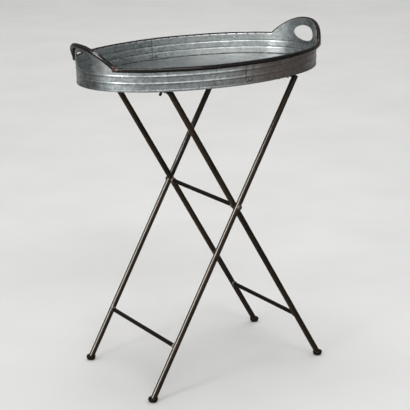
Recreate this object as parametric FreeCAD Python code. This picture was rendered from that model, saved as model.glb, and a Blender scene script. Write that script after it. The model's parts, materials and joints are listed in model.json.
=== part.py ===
import FreeCAD, Part
import os
import math

# ---------------------------------------------------------------- dimensions
# millimetres; X along the tray, -Y is the front, Z up, origin on the floor
# under the middle of the table

# stand
leg_dia = 12.7            # round rod of the four legs
bar_dia = 9.5             # rails, stretchers, middle rod, rim rod
lean_deg = 29.7           # lean of each frame from upright
pivot_z = 398.0           # height of the crossing
inner_y = 131.0           # half distance between inner leg axes
outer_y = 144.4           # half distance between outer leg axes
rail_z = 665.65           # axis of both top rails
leg_top_z = 670.4         # legs are cut level under the tray
stretcher_z = 112.0       # axis of both lower stretchers
leg_bottom_z = 3.0        # leg end inside its foot
foot_dia = 21.5
foot_height = 10.6
pin_dia = 6.0             # pivot rivet shank
pin_hole_outer = 6.1      # running hole in the outer legs
pin_depth = 7.0           # shank length inside the middle rod
rivet_head_dia = 12.0
rivet_head_height = 4.2
rivet_head_gap = 0.35

# tray
sheet = 1.0               # sheet thickness
half_len = 283.8          # outer face of the wall at the bottom, long half axis
half_wid = 183.5          # the same, short half axis
wall_z0 = 671.0           # bottom of the wall
floor_z = 672.05          # underside of the floor sheet
rim_z = 717.0             # axis of the rim rod
wall_top_z = 719.4        # top edge of the wall, behind the rim rod
flare = 1.0               # outward lean of the wall between bottom and rim
flange = 7.0              # turned-in bottom flange carrying the floor sheet
hem_h = 4.2
hem_out = 0.6
bead_z = (688.4, 703.2)   # middle heights of the two swaged beads
bead_half = 2.8
bead_out = 0.7
arc_a = 35.0              # normal angles where the oval changes radius
arc_b = 65.0
mid_radius = 215.0
handle_half = 93.5        # half length of the handle along the wall
handle_shift = 0.0        # handle centre along the wall from the long axis
handle_rise = 41.5        # rim axis at the handle top above the level rim
handle_power = 0.88
handle_round = 1.15
hole_half = 36.6          # hand hole, half length along the wall
hole_half_h = 17.4
hole_z = 727.4
rim_gap = 0.06
seam_x = 13.6             # the lapping edges come out at the middle, front and back
lap = 14.0
lap_top_z = 713.2         # the lap stops under the rim rod
seam_rivet_dia = 3.0
seam_rivet_z = 679.6

# clips
clip_y = 104.0
clip_w = 9.0
clip_t = 1.2
clip_in = 5.25            # rail axis to the inner face of an arm
clip_rivet_dia = 3.2

r_leg = leg_dia / 2.0
r_bar = bar_dia / 2.0
lean = math.radians(lean_deg)
V = FreeCAD.Vector
parts = {}


def rod(p, q, r):
    d = q.sub(p)
    return Part.makeCylinder(r, d.Length, p, d)


def group(shapes):
    return Part.makeCompound(shapes)


def one(shape):
    s = shape.Solids
    return s[0] if len(s) == 1 else group(s)


# -------------------------------------------------------------------- stand
def leg_x(z):
    return (z - pivot_z) * math.tan(lean)


def make_leg(side, y):
    # side -1: top leans to -X (inner frame); +1: top leans to +X (outer frame)
    lo, hi = -25.0, 700.0
    c = rod(V(side * leg_x(lo), y, lo), V(side * leg_x(hi), y, hi), r_leg)
    keep = Part.makeBox(900, 60, leg_top_z - leg_bottom_z, V(-450, y - 30, leg_bottom_z))
    return c.common(keep)


def make_foot(side, y):
    r = foot_dia / 2.0
    h = foot_height
    # narrow base, widest near the top, rounded upper edge
    wire = [Part.makeLine(V(0, 0, 0), V(7.1, 0, 0)),
            Part.Arc(V(7.1, 0, 0), V(9.5, 0, 2.7), V(r, 0, 7.3)).toShape(),
            Part.Arc(V(r, 0, 7.3), V(r - 0.55, 0, 9.4), V(r - 2.3, 0, h)).toShape(),
            Part.makeLine(V(r - 2.3, 0, h), V(0, 0, h)),
            Part.makeLine(V(0, 0, h), V(0, 0, 0))]
    f = Part.Face(Part.Wire(wire))
    s = f.revolve(V(0, 0, 0), V(0, 0, 1), 360)
    s.translate(V(side * leg_x(h * 0.55), y, 0))
    return s


def weld_ring(x, z, y_leg, inward, r, bead, leg, bar):
    # fillet of weld round a bar end where it meets a leg; inward = -sign(y)
    y = y_leg + inward * (r_leg - 0.9)
    for turn in (23.0, 61.0, 97.0, 141.0):
        ring = Part.makeTorus(r + 0.15, bead, V(x, y, z), V(0, 1, 0))
        ring.rotate(V(x, y, z), V(0, 1, 0), turn)
        ring = ring.cut(leg).cut(bar)
        # the ring is split by the bar and the leg: keep what lies on the open side
        keep = [w for w in ring.Solids if abs(w.CenterOfMass.y) < abs(y_leg) - r_leg * 0.55 and w.Volume > 2.0]
        if keep and max(w.common(leg).Volume + w.common(bar).Volume for w in keep) < 0.05:
            break
    return keep


def frame(prefix, side, y):
    legs = {"front": make_leg(side, -y), "back": make_leg(side, y)}
    if prefix == "inner":
        bore = rod(V(0, -400, pivot_z), V(0, 400, pivot_z), pin_dia / 2.0)
    else:
        bore = rod(V(0, -400, pivot_z), V(0, 400, pivot_z), pin_hole_outer / 2.0)
    xr = side * leg_x(rail_z)
    xs = side * leg_x(stretcher_z)
    rail = rod(V(xr, -y, rail_z), V(xr, y, rail_z), r_bar)
    stretcher = rod(V(xs, -y, stretcher_z), V(xs, y, stretcher_z), r_bar)
    for k in legs:
        rail = rail.cut(legs[k])
        stretcher = stretcher.cut(legs[k])
    # cutting by round legs leaves crescents beyond the legs: keep the long middle
    rail = max(rail.Solids, key=lambda s: s.Volume)
    stretcher = max(stretcher.Solids, key=lambda s: s.Volume)
    bars = [(xr, rail_z, rail), (xs, stretcher_z, stretcher)]
    if prefix == "inner":
        mid = rod(V(0, -y, pivot_z), V(0, y, pivot_z), r_bar)
        for k in legs:
            mid = mid.cut(legs[k])
        mid = max(mid.Solids, key=lambda s: s.Volume)
        y_end = y - r_leg + 2.5
        for sgn in (-1, 1):
            mid = mid.cut(rod(V(0, sgn * (y_end - pin_depth - 2.5), pivot_z), V(0, sgn * (y + 5), pivot_z), pin_dia / 2.0))
        parts["pivot_middle_rod"] = one(mid)
        bars.append((0.0, pivot_z, mid))
    welds = []
    for (x, z, bar) in bars:
        for k, s in (("front", -1), ("back", 1)):
            # smaller beads on the top rails, which lie close under the tray
            welds.extend(weld_ring(x, z, s * y, -s, r_bar, 1.0 if z == rail_z else 1.7, legs[k], bar))
    parts[prefix + "_weld_beads"] = group(welds)
    for k in legs:
        parts["%s_leg_%s" % (prefix, k)] = one(legs[k].cut(bore))
    parts[prefix + "_top_rail"] = rail
    parts[prefix + "_stretcher"] = stretcher
    for k, s in (("front", -1), ("back", 1)):
        foot = make_foot(side, s * y).cut(legs[k])
        parts["%s_foot_%s" % (prefix, k)] = max(foot.Solids, key=lambda q: q.Volume)


frame("inner", -1, inner_y)
frame("outer", 1, outer_y)


def pivot_rivet(sgn):
    y_head = outer_y + r_leg + rivet_head_gap
    y_in = inner_y - r_leg + 2.5 - pin_depth
    R = rivet_head_dia / 2.0
    h = rivet_head_height
    # head: short straight skirt, then a dome
    rad = (R * R + (h - 0.8) ** 2) / (2.0 * (h - 0.8))
    mid_a = 0.5 * math.asin(R / rad)
    top = V(0, y_head + h, 0)
    cz = y_head + h - rad
    edge = [Part.makeLine(V(0, y_in, 0), V(pin_dia / 2.0, y_in, 0)),
            Part.makeLine(V(pin_dia / 2.0, y_in, 0), V(pin_dia / 2.0, y_head, 0)),
            Part.makeLine(V(pin_dia / 2.0, y_head, 0), V(R, y_head, 0)),
            Part.makeLine(V(R, y_head, 0), V(R, y_head + 0.8, 0)),
            Part.Arc(V(R, y_head + 0.8, 0), V(rad * math.sin(mid_a), cz + rad * math.cos(mid_a), 0), top).toShape(),
            Part.makeLine(top, V(0, y_in, 0))]
    s = Part.Face(Part.Wire(edge)).revolve(V(0, 0, 0), V(0, 1, 0), 360)
    if sgn < 0:
        s.rotate(V(0, 0, 0), V(0, 0, 1), 180)
    s.translate(V(0, 0, pivot_z))
    return s


parts["pivot_rivet_front"] = pivot_rivet(-1)
parts["pivot_rivet_back"] = pivot_rivet(1)

# --------------------------------------------------------------------- oval
# The tray outline is an oval of tangent arcs close to an ellipse: an end arc,
# a shoulder arc and a side arc in each quarter, named by the angle of the
# outward normal. Any parallel offset of it is the same set of arcs.
fa, fb = math.radians(arc_a), math.radians(arc_b)
r2 = mid_radius
# half_wid = r1 sin a + r2 (sin b - sin a) + r3 (1 - sin b)
# half_len = r1 (1 - cos a) + r2 (cos a - cos b) + r3 cos b
m11, m12, k1 = math.sin(fa), 1 - math.sin(fb), half_wid - r2 * (math.sin(fb) - math.sin(fa))
m21, m22, k2 = 1 - math.cos(fa), math.cos(fb), half_len - r2 * (math.cos(fa) - math.cos(fb))
det = m11 * m22 - m12 * m21
r1 = (k1 * m22 - m12 * k2) / det
r3 = (m11 * k2 - k1 * m21) / det
c1 = (half_len - r1, 0.0)
c2 = (c1[0] + (r1 - r2) * math.cos(fa), (r1 - r2) * math.sin(fa))
c3 = (0.0, half_wid - r3)


def arc_table():
    a, b = arc_a, arc_b
    rows = []
    rows.append((-a, a, c1[0], 0.0, r1))
    rows.append((a, b, c2[0], c2[1], r2))
    rows.append((b, 180 - b, 0.0, c3[1], r3))
    rows.append((180 - b, 180 - a, -c2[0], c2[1], r2))
    rows.append((180 - a, 180 + a, -c1[0], 0.0, r1))
    rows.append((180 + a, 180 + b, -c2[0], -c2[1], r2))
    rows.append((180 + b, 360 - b, 0.0, -c3[1], r3))
    rows.append((360 - b, 360 - a, c2[0], -c2[1], r2))
    return rows


arcs = arc_table()


def arc_at(phi):
    p = (phi + arc_a) % 360.0 - arc_a
    for row in arcs:
        if row[0] - 1e-9 <= p <= row[1] + 1e-9:
            return row
    return arcs[0]


def oval_point(phi, off, z):
    row = arc_at(phi)
    c, s = math.cos(math.radians(phi)), math.sin(math.radians(phi))
    return V(row[2] + (row[4] + off) * c, row[3] + (row[4] + off) * s, z)


def split_range(lo, hi):
    # pieces of [lo, hi] that each lie on one arc
    cuts = [lo]
    for k in range(-2, 3):
        for row in arcs:
            e = row[0] + 360.0 * k
            if lo + 1e-6 < e < hi - 1e-6:
                cuts.append(e)
    cuts.append(hi)
    cuts.sort()
    return [(cuts[i], cuts[i + 1]) for i in range(len(cuts) - 1)]


def sweep_profile(face_of_radius, lo, hi):
    # face_of_radius(r) gives the section in the XZ plane for an arc of radius r
    out = []
    for (p, q) in split_range(lo, hi):
        row = arc_at((p + q) / 2.0)
        f = face_of_radius(row[4])
        f.rotate(V(0, 0, 0), V(0, 0, 1), p)
        f.translate(V(row[2], row[3], 0))
        out.append(f.revolve(V(row[2], row[3], 0), V(0, 0, 1), q - p))
    if len(out) == 1:
        return out[0]
    s = out[0].multiFuse(out[1:])
    return one(s.removeSplitter())


def lean_off(z):
    return flare * (z - wall_z0) / (rim_z - wall_z0)


def wall_edges(off, z_lo, z_hi, r, beads=True):
    # one face line of the wall from z_lo up to z_hi, with the beads pressed outward
    e = []
    p = V(r + off + lean_off(z_lo), 0, z_lo)
    if beads:
        for zb in bead_z:
            a = V(r + off + lean_off(zb - bead_half), 0, zb - bead_half)
            b = V(r + off + lean_off(zb) + bead_out, 0, zb)
            c = V(r + off + lean_off(zb + bead_half), 0, zb + bead_half)
            e.append(Part.makeLine(p, a))
            e.append(Part.Arc(a, b, c).toShape())
            p = c
    q = V(r + off + lean_off(z_hi), 0, z_hi)
    e.append(Part.makeLine(p, q))
    return e, e[0].Vertexes[0].Point, q


def closed(edges):
    return Part.Face(Part.Wire(Part.__sortEdges__(edges)))


def wall_face(r):
    zo = wall_z0 + hem_h
    out, o0, o1 = wall_edges(0.0, zo + 0.6, wall_top_z, r)
    inn, i0, i1 = wall_edges(-sheet, wall_z0 + sheet, wall_top_z, r)
    a = V(r - flange, 0, wall_z0)
    b = V(r + hem_out - 0.5, 0, wall_z0)
    b2 = V(r + hem_out, 0, wall_z0 + 0.5)
    c = V(r + hem_out, 0, zo)
    d = V(r - flange, 0, wall_z0 + sheet)
    edges = [Part.makeLine(a, b), Part.makeLine(b, b2), Part.makeLine(b2, c), Part.makeLine(c, o0)] + out
    edges += [Part.makeLine(o1, i1)] + inn
    edges += [Part.makeLine(i0, d), Part.makeLine(d, a)]
    return closed(edges)


def strip_face(off_in, off_out, z_lo, z_hi, beads=True):
    def f(r):
        out, o0, o1 = wall_edges(off_out, z_lo, z_hi, r, beads)
        inn, i0, i1 = wall_edges(off_in, z_lo, z_hi, r, beads)
        return closed(out + [Part.makeLine(o1, i1)] + inn + [Part.makeLine(i0, o0)])
    return f


# angle on the oval reached by an arc length from the end of the long axis
def phi_of_arc(s):
    a = abs(s)
    s1 = r1 * fa
    if a <= s1:
        p = math.degrees(a / r1)
    else:
        p = arc_a + math.degrees((a - s1) / r2)
    return math.copysign(p, s)


def handle_line(s):
    # height of the rim axis over the level rim at arc length s
    t = min(1.0, abs(s - handle_shift) / handle_half)
    return handle_rise * max(0.0, math.cos(math.pi / 2.0 * t ** handle_round)) ** handle_power


phi_lo = phi_of_arc(handle_shift - handle_half)
phi_hi = phi_of_arc(handle_shift + handle_half)


def outline_points(drop, n=48, span=1.0):
    pts = []
    for i in range(n + 1):
        s = handle_shift + handle_half * span * (-1.0 + 2.0 * i / n)
        z = rim_z + handle_line(s) - drop
        pts.append(oval_point(phi_of_arc(s), lean_off(z), z))
    return pts


def prism_x(points, x0, x1):
    # solid between x0 and x1 over a closed outline given in the YZ plane
    flat = [V(x0, p.y, p.z) for p in points]
    w = Part.makePolygon(flat + [flat[0]])
    return Part.Face(w).extrude(V(x1 - x0, 0, 0))


def smooth_prism(points, x0, x1):
    flat = [V(x0, p.y, p.z) for p in points]
    b = Part.BSplineCurve()
    b.interpolate(Points=flat, PeriodicFlag=True)
    return Part.Face(Part.Wire(b.toShape())).extrude(V(x1 - x0, 0, 0))


def make_wall():
    d = math.degrees(math.asin(seam_x / r3))
    lo, hi = -90.0 + d, 90.0 + d
    gap = math.degrees(0.1 / r3)
    body = sweep_profile(wall_face, lo + gap, hi)
    # raised end: plain strip over the handle length, trimmed to the arch
    high = sweep_profile(strip_face(-sheet, 0.0, wall_top_z - 3.0, rim_z + handle_rise + 8.0, beads=False), phi_lo, phi_hi)
    top = outline_points(rim_z - wall_top_z)
    flat = [V(120, p.y, p.z) for p in top]
    curve = Part.BSplineCurve()
    curve.interpolate(Points=flat)
    a, b = flat[0], flat[-1]
    up = 900.0
    low_a = V(120, a.y - 40.0, a.z)
    low_b = V(120, b.y + 40.0, b.z)
    e = [curve.toShape(), Part.makeLine(b, low_b), Part.makeLine(low_b, V(120, low_b.y, up)),
         Part.makeLine(V(120, low_b.y, up), V(120, low_a.y, up)), Part.makeLine(V(120, low_a.y, up), low_a), Part.makeLine(low_a, a)]
    cutter = Part.Face(Part.Wire(e)).extrude(V(300, 0, 0))
    high = high.cut(cutter)
    body = body.fuse(high).removeSplitter()
    # hand hole
    ring = []
    for i in range(32):
        t = 2 * math.pi * i / 32
        z = hole_z + hole_half_h * math.sin(t)
        ring.append(oval_point(phi_of_arc(handle_shift + hole_half * math.cos(t)), lean_off(z), z))
    body = body.cut(smooth_prism(ring, 120, 420))
    # lap at the front seam, lying over the end of the other half
    dl = math.degrees(lap / r3)
    lapf = strip_face(0.06, sheet + 0.06, wall_z0 + hem_h + 1.4, lap_top_z)
    jogf = strip_face(-0.5, sheet + 0.06, wall_z0 + hem_h + 1.4, lap_top_z)
    jog = math.degrees(1.6 / r3)
    lap_s = sweep_profile(lapf, lo - dl, lo + gap)
    jog_s = sweep_profile(jogf, lo + gap, lo + gap + jog)
    body = body.multiFuse([jog_s, lap_s]).removeSplitter()
    return body, lo, hi


wall_right, seam_lo, seam_hi = make_wall()

# seam rivets: two through each lap, near the bottom
rivets = []
holes = []


def round_rivet(phi, z, off_in, off_out, dia, head_d, head_h):
    row = arc_at(phi)
    n = V(math.cos(math.radians(phi)), math.sin(math.radians(phi)), 0)
    p_in = oval_point(phi, off_in, z)
    p_out = oval_point(phi, off_out, z)
    shank = rod(p_in, p_out, dia / 2.0)
    R = head_d / 2.0
    rad = (R * R + head_h * head_h) / (2.0 * head_h)
    caps = []
    for (p, dirn) in ((p_out, n), (p_in, n.multiply(-1) if False else V(-n.x, -n.y, 0))):
        c = p.add(V(dirn.x * (head_h - rad), dirn.y * (head_h - rad), 0))
        ball = Part.makeSphere(rad, c)
        keep = Part.makeCylinder(R + 1.0, head_h + 1.0, p, dirn)
        caps.append(ball.common(keep))
    s = shank.multiFuse(caps).removeSplitter()
    return one(s)


for base in (seam_lo, seam_lo + 180.0):
    for arc_len in (3.2, 10.6):
        phi = base - math.degrees(arc_len / r3)
        off = lean_off(seam_rivet_z)
        rivets.append(round_rivet(phi, seam_rivet_z, off - sheet - 0.24, off + sheet + 0.30, seam_rivet_dia, 6.0, 1.5))
        holes.append(rod(oval_point(phi, -12, seam_rivet_z), oval_point(phi, 12, seam_rivet_z), seam_rivet_dia / 2.0 + 0.15))
parts["seam_rivets"] = group(rivets)

wall_left = wall_right.copy()
wall_left.rotate(V(0, 0, 0), V(0, 0, 1), 180)
wall_right = one(wall_right.cut(group(holes)))
wall_left = one(wall_left.cut(group(holes)))
parts["tray_wall_right"] = wall_right
parts["tray_wall_left"] = wall_left

# floor sheet, resting on the turned-in flange
edges = []
f_off = -sheet - 0.15
for row in arcs:
    p, q = row[0], row[1]
    m = (p + q) / 2.0
    edges.append(Part.Arc(oval_point(p, f_off, floor_z), V(row[2] + (row[4] + f_off) * math.cos(math.radians(m)), row[3] + (row[4] + f_off) * math.sin(math.radians(m)), floor_z), oval_point(q, f_off, floor_z)).toShape())
tray_floor = Part.Face(Part.Wire(Part.__sortEdges__(edges))).extrude(V(0, 0, sheet))

# ---------------------------------------------------------------------- rim
rim_off = lean_off(rim_z) + r_bar + rim_gap
corner_cut = math.degrees(2.2 / r2)


def rim_face(r):
    c = Part.Circle(V(r + rim_off, 0, rim_z), V(0, 1, 0), r_bar)
    return Part.Face(Part.Wire(c.toShape()))


parts["rim_back"] = sweep_profile(rim_face, phi_hi + corner_cut, 180.0 + phi_lo - corner_cut)
parts["rim_front"] = sweep_profile(rim_face, 180.0 + phi_hi + corner_cut, 360.0 + phi_lo - corner_cut)


def handle_rim():
    # round sections square to the rod's line, all turned the same way
    n = 48
    s0 = handle_half - 2.0
    pts = []
    for i in range(n + 1):
        s = handle_shift + s0 * (-1.0 + 2.0 * i / n)
        z = rim_z + handle_line(s)
        pts.append(oval_point(phi_of_arc(s), lean_off(z) + r_bar + rim_gap, z))
    b = Part.BSplineCurve()
    b.interpolate(Points=pts)
    sections = []
    for p in pts:
        t = b.tangent(b.parameter(p))[0]
        ref = V(1, 0, 0).sub(V(t.x * t.x, t.y * t.x, t.z * t.x))
        ref.normalize()
        side = t.cross(ref)
        c = Part.makeCircle(r_bar)
        c.Placement = FreeCAD.Placement(p, FreeCAD.Rotation(ref, side, t, "ZXY"))
        sections.append(Part.Wire(c))
    return Part.makeLoft(sections, True, False)


h_right = handle_rim()
h_left = h_right.copy()
h_left.rotate(V(0, 0, 0), V(0, 0, 1), 180)
parts["rim_handle_right"] = one(h_right)
parts["rim_handle_left"] = one(h_left)

welds = []
for base in (phi_hi, 180.0 + phi_lo, 180.0 + phi_hi, 360.0 + phi_lo):
    p = oval_point(base, rim_off, rim_z + 1.0)
    ball = Part.makeSphere(r_bar + 0.55, p)
    for name in ("rim_back", "rim_front", "rim_handle_right", "rim_handle_left"):
        if ball.BoundBox.intersect(parts[name].BoundBox):
            ball = ball.cut(parts[name])
    ball = ball.cut(wall_right).cut(wall_left)
    keep = [s for s in ball.Solids if s.Volume > 8.0]
    n = V(math.cos(math.radians(base)), math.sin(math.radians(base)), 0)
    keep = [s for s in keep if s.CenterOfMass.sub(oval_point(base, 0, rim_z)).dot(n) > -1.0]
    welds.extend(keep)
parts["rim_corner_welds"] = group(welds)

# -------------------------------------------------------------------- clips
rail_x = leg_x(rail_z)


def clip_section():
    # drawn for the +X rail: inner lip towards -X, outer arm towards +X
    top = floor_z - 0.05
    web = top - clip_t
    zi = rail_z + 1.9            # where the inner arm starts to flare
    zo = rail_z - 5.2            # where the outer arm starts to flare
    zb = rail_z - 11.0           # lip ends
    ti, to = math.tan(math.radians(38.0)), math.tan(math.radians(26.0))
    a, t = clip_in, clip_t
    return [V(rail_x - a - t, 0, top), V(rail_x + a + t, 0, top),
            V(rail_x + a + t, 0, zo + 0.2), V(rail_x + a + t + (zo - zb) * to, 0, zb + 0.5),
            V(rail_x + a + t + (zo - zb) * to - t * 1.1, 0, zb),
            V(rail_x + a, 0, zo), V(rail_x + a, 0, web), V(rail_x - a, 0, web),
            V(rail_x - a, 0, zi), V(rail_x - a - (zi - zb) * ti, 0, zb),
            V(rail_x - a - (zi - zb) * ti - t * 1.1, 0, zb + 0.7), V(rail_x - a - t, 0, zi + 0.4)]


def make_clip(sx, sy):
    pts = clip_section()
    f = Part.Face(Part.makePolygon(pts + [pts[0]]))
    f.translate(V(0, -clip_w / 2.0, 0))
    s = f.extrude(V(0, clip_w, 0))
    if sx < 0:
        s = s.mirror(V(0, 0, 0), V(1, 0, 0))
    s.translate(V(0, sy * clip_y, 0))
    return s


clip_rivets = []
for sx, nx in ((-1, "left"), (1, "right")):
    for sy, ny in ((-1, "front"), (1, "back")):
        s = make_clip(sx, sy)
        x, y = sx * rail_x, sy * clip_y
        lo = floor_z - 0.05 - clip_t
        hi = floor_z + sheet
        hole = rod(V(x, y, lo - 5), V(x, y, hi + 5), clip_rivet_dia / 2.0 + 0.05)
        sink = Part.makeCone(clip_rivet_dia / 2.0 + 1.0, clip_rivet_dia / 2.0 + 0.05, 0.8, V(x, y, lo), V(0, 0, 1))
        s = s.cut(hole).cut(sink)
        parts["clip_%s_%s" % (nx, ny)] = one(s)
        # heads flush with the floor, so that things stand flat on it
        top_sink = Part.makeCone(clip_rivet_dia / 2.0 + 0.05, clip_rivet_dia / 2.0 + 0.85, 0.75, V(x, y, hi - 0.75), V(0, 0, 1))
        tray_floor = tray_floor.cut(hole).cut(top_sink)
        shank = rod(V(x, y, lo), V(x, y, hi - 0.03), clip_rivet_dia / 2.0)
        foot = Part.makeCone(clip_rivet_dia / 2.0 + 0.95, clip_rivet_dia / 2.0, 0.8, V(x, y, lo), V(0, 0, 1))
        head = Part.makeCone(clip_rivet_dia / 2.0, clip_rivet_dia / 2.0 + 0.70, 0.70, V(x, y, hi - 0.73), V(0, 0, 1))
        clip_rivets.append(one(shank.multiFuse([foot, head]).removeSplitter()))
parts["tray_floor"] = one(tray_floor)
parts["clip_rivets"] = group(clip_rivets)

# -------------------------------------------------------------------- output
os.makedirs("parts", exist_ok=True)
for name in sorted(parts):
    parts[name].exportStep(os.path.join("parts", name + ".step"))
    s = parts[name]
    print(name, len(s.Solids), round(s.Volume, 1), s.isValid())
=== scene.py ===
import bpy
import json
import math
import random
import numpy as np
from mathutils import Matrix, Vector


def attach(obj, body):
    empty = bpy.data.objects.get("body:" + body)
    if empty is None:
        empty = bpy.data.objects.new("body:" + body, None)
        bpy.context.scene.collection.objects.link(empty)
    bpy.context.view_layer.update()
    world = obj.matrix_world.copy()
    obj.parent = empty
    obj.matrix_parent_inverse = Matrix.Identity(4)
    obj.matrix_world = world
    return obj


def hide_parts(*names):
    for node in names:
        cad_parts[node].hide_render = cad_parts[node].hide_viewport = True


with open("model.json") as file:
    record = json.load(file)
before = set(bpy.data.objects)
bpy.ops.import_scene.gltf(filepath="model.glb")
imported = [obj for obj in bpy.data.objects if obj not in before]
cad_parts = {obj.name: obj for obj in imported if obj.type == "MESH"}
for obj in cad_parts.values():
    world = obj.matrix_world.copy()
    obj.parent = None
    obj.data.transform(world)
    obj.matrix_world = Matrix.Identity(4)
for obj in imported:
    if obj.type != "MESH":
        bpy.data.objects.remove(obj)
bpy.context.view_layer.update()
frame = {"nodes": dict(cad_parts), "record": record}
nodes = frame["nodes"]
MM = 0.001

# ----------------------------------------------------------------- dimensions
# the same sizes as the model, in millimetres
LEG_R = 6.35
BAR_R = 4.75
LEAN = math.radians(29.7)
PIVOT_Z = 398.0
INNER_Y, OUTER_Y = 131.0, 144.4
RAIL_Z, STRETCHER_Z, LEG_TOP_Z = 665.65, 112.0, 670.4
SHEET = 1.0
HALF_LEN, HALF_WID = 283.8, 183.5
WALL_Z0, FLOOR_Z, RIM_Z, WALL_TOP = 671.0, 672.05, 717.0, 719.4
FLARE, FLANGE, HEM_H, HEM_OUT = 1.0, 7.0, 4.2, 0.6
BEADS, BEAD_HALF, BEAD_OUT = (688.4, 703.2), 2.8, 0.7
ARC_A, ARC_B, R2 = 35.0, 65.0, 215.0
HANDLE_HALF, HANDLE_SHIFT, HANDLE_RISE, HANDLE_POW, HANDLE_ROUND = 93.5, 0.0, 41.5, 0.88, 1.15
HOLE_HALF, HOLE_HALF_H, HOLE_Z = 36.6, 17.4, 727.4
RIM_GAP = 0.06
SEAM_X, LAP, LAP_TOP = 13.6, 14.0, 713.2

# ----------------------------------------------------------------------- oval
fa, fb = math.radians(ARC_A), math.radians(ARC_B)
m11, m12, k1 = math.sin(fa), 1 - math.sin(fb), HALF_WID - R2 * (math.sin(fb) - math.sin(fa))
m21, m22, k2 = 1 - math.cos(fa), math.cos(fb), HALF_LEN - R2 * (math.cos(fa) - math.cos(fb))
det = m11 * m22 - m12 * m21
R1 = (k1 * m22 - m12 * k2) / det
R3 = (m11 * k2 - k1 * m21) / det
C1 = (HALF_LEN - R1, 0.0)
C2 = (C1[0] + (R1 - R2) * math.cos(fa), (R1 - R2) * math.sin(fa))
C3 = (0.0, HALF_WID - R3)
ARCS = [(-ARC_A, ARC_A, C1[0], 0.0, R1), (ARC_A, ARC_B, C2[0], C2[1], R2),
        (ARC_B, 180 - ARC_B, 0.0, C3[1], R3), (180 - ARC_B, 180 - ARC_A, -C2[0], C2[1], R2),
        (180 - ARC_A, 180 + ARC_A, -C1[0], 0.0, R1), (180 + ARC_A, 180 + ARC_B, -C2[0], -C2[1], R2),
        (180 + ARC_B, 360 - ARC_B, 0.0, -C3[1], R3), (360 - ARC_B, 360 - ARC_A, C2[0], -C2[1], R2)]
S1 = R1 * fa
S2 = S1 + R2 * (fb - fa)


def phi_of_arc(s):
    """Normal angle in degrees reached by arc length s from the +X end, positive towards the back."""
    a = abs(s)
    if a <= S1:
        p = math.degrees(a / R1)
    elif a <= S2:
        p = ARC_A + math.degrees((a - S1) / R2)
    else:
        p = ARC_B + math.degrees((a - S2) / R3)
    return math.copysign(p, s)


def arc_of_phi(phi):
    a = abs(phi)
    if a <= ARC_A:
        s = R1 * math.radians(a)
    elif a <= ARC_B:
        s = S1 + R2 * math.radians(a - ARC_A)
    else:
        s = S2 + R3 * math.radians(a - ARC_B)
    return math.copysign(s, phi)


def oval(phi, off, z):
    p = (phi + ARC_A) % 360.0 - ARC_A
    for row in ARCS:
        if row[0] - 1e-9 <= p <= row[1] + 1e-9:
            break
    c, s = math.cos(math.radians(phi)), math.sin(math.radians(phi))
    return (row[2] + (row[4] + off) * c, row[3] + (row[4] + off) * s, z)


def lean_off(z):
    return FLARE * (z - WALL_Z0) / (RIM_Z - WALL_Z0)


def handle_line(s):
    t = min(1.0, abs(s - HANDLE_SHIFT) / HANDLE_HALF)
    return HANDLE_RISE * max(0.0, math.cos(math.pi / 2 * t ** HANDLE_ROUND)) ** HANDLE_POW


def leg_x(z):
    return (z - PIVOT_Z) * math.tan(LEAN)


# ------------------------------------------------------------------ materials
def new_mat(name):
    m = bpy.data.materials.new(name)
    m.use_nodes = True
    nt = m.node_tree
    nt.nodes.clear()
    out = nt.nodes.new("ShaderNodeOutputMaterial")
    b = nt.nodes.new("ShaderNodeBsdfPrincipled")
    nt.links.new(b.outputs["BSDF"], out.inputs["Surface"])
    return m, nt, b


def N(nt, kind, **kw):
    n = nt.nodes.new(kind)
    for k, v in kw.items():
        setattr(n, k, v)
    return n


def L(nt, a, b):
    nt.links.new(a, b)


def noise(nt, vec, scale, detail=3.0, rough=0.55, dist=0.0):
    n = N(nt, "ShaderNodeTexNoise")
    n.inputs["Scale"].default_value = scale
    n.inputs["Detail"].default_value = detail
    n.inputs["Roughness"].default_value = rough
    n.inputs["Distortion"].default_value = dist
    L(nt, vec, n.inputs["Vector"])
    return n


def ramp(nt, fac, stops):
    r = N(nt, "ShaderNodeValToRGB")
    el = r.color_ramp.elements
    while len(el) < len(stops):
        el.new(0.5)
    for e, (p, c) in zip(el, stops):
        e.position = p
        e.color = (c, c, c, 1) if isinstance(c, (int, float)) else (*c, 1)
    L(nt, fac, r.inputs["Fac"])
    return r


def mixc(nt, fac, a, b, mode="MIX"):
    m = N(nt, "ShaderNodeMix", data_type="RGBA", blend_type=mode)
    for sock, v in ((m.inputs[0], fac), (m.inputs[6], a), (m.inputs[7], b)):
        if hasattr(v, "links"):
            L(nt, v, sock)
        elif isinstance(v, (int, float)):
            sock.default_value = v if sock.type == "VALUE" else (v, v, v, 1)
        else:
            sock.default_value = (*v, 1)
    return m.outputs[2]


def mathn(nt, op, a, b=None, clamp=False):
    m = N(nt, "ShaderNodeMath", operation=op, use_clamp=clamp)
    for sock, v in ((m.inputs[0], a), (m.inputs[1], b)):
        if v is None:
            continue
        if hasattr(v, "links"):
            L(nt, v, sock)
        else:
            sock.default_value = v
    return m.outputs[0]


def coords(nt):
    return N(nt, "ShaderNodeTexCoord").outputs["Object"]


def bump(nt, height, strength, distance, bsdf, normal=None):
    b = N(nt, "ShaderNodeBump")
    b.inputs["Strength"].default_value = strength
    b.inputs["Distance"].default_value = distance
    L(nt, height, b.inputs["Height"])
    if normal is not None:
        L(nt, normal, b.inputs["Normal"])
    if bsdf is not None:
        L(nt, b.outputs["Normal"], bsdf.inputs["Normal"])
    return b.outputs["Normal"]


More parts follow.
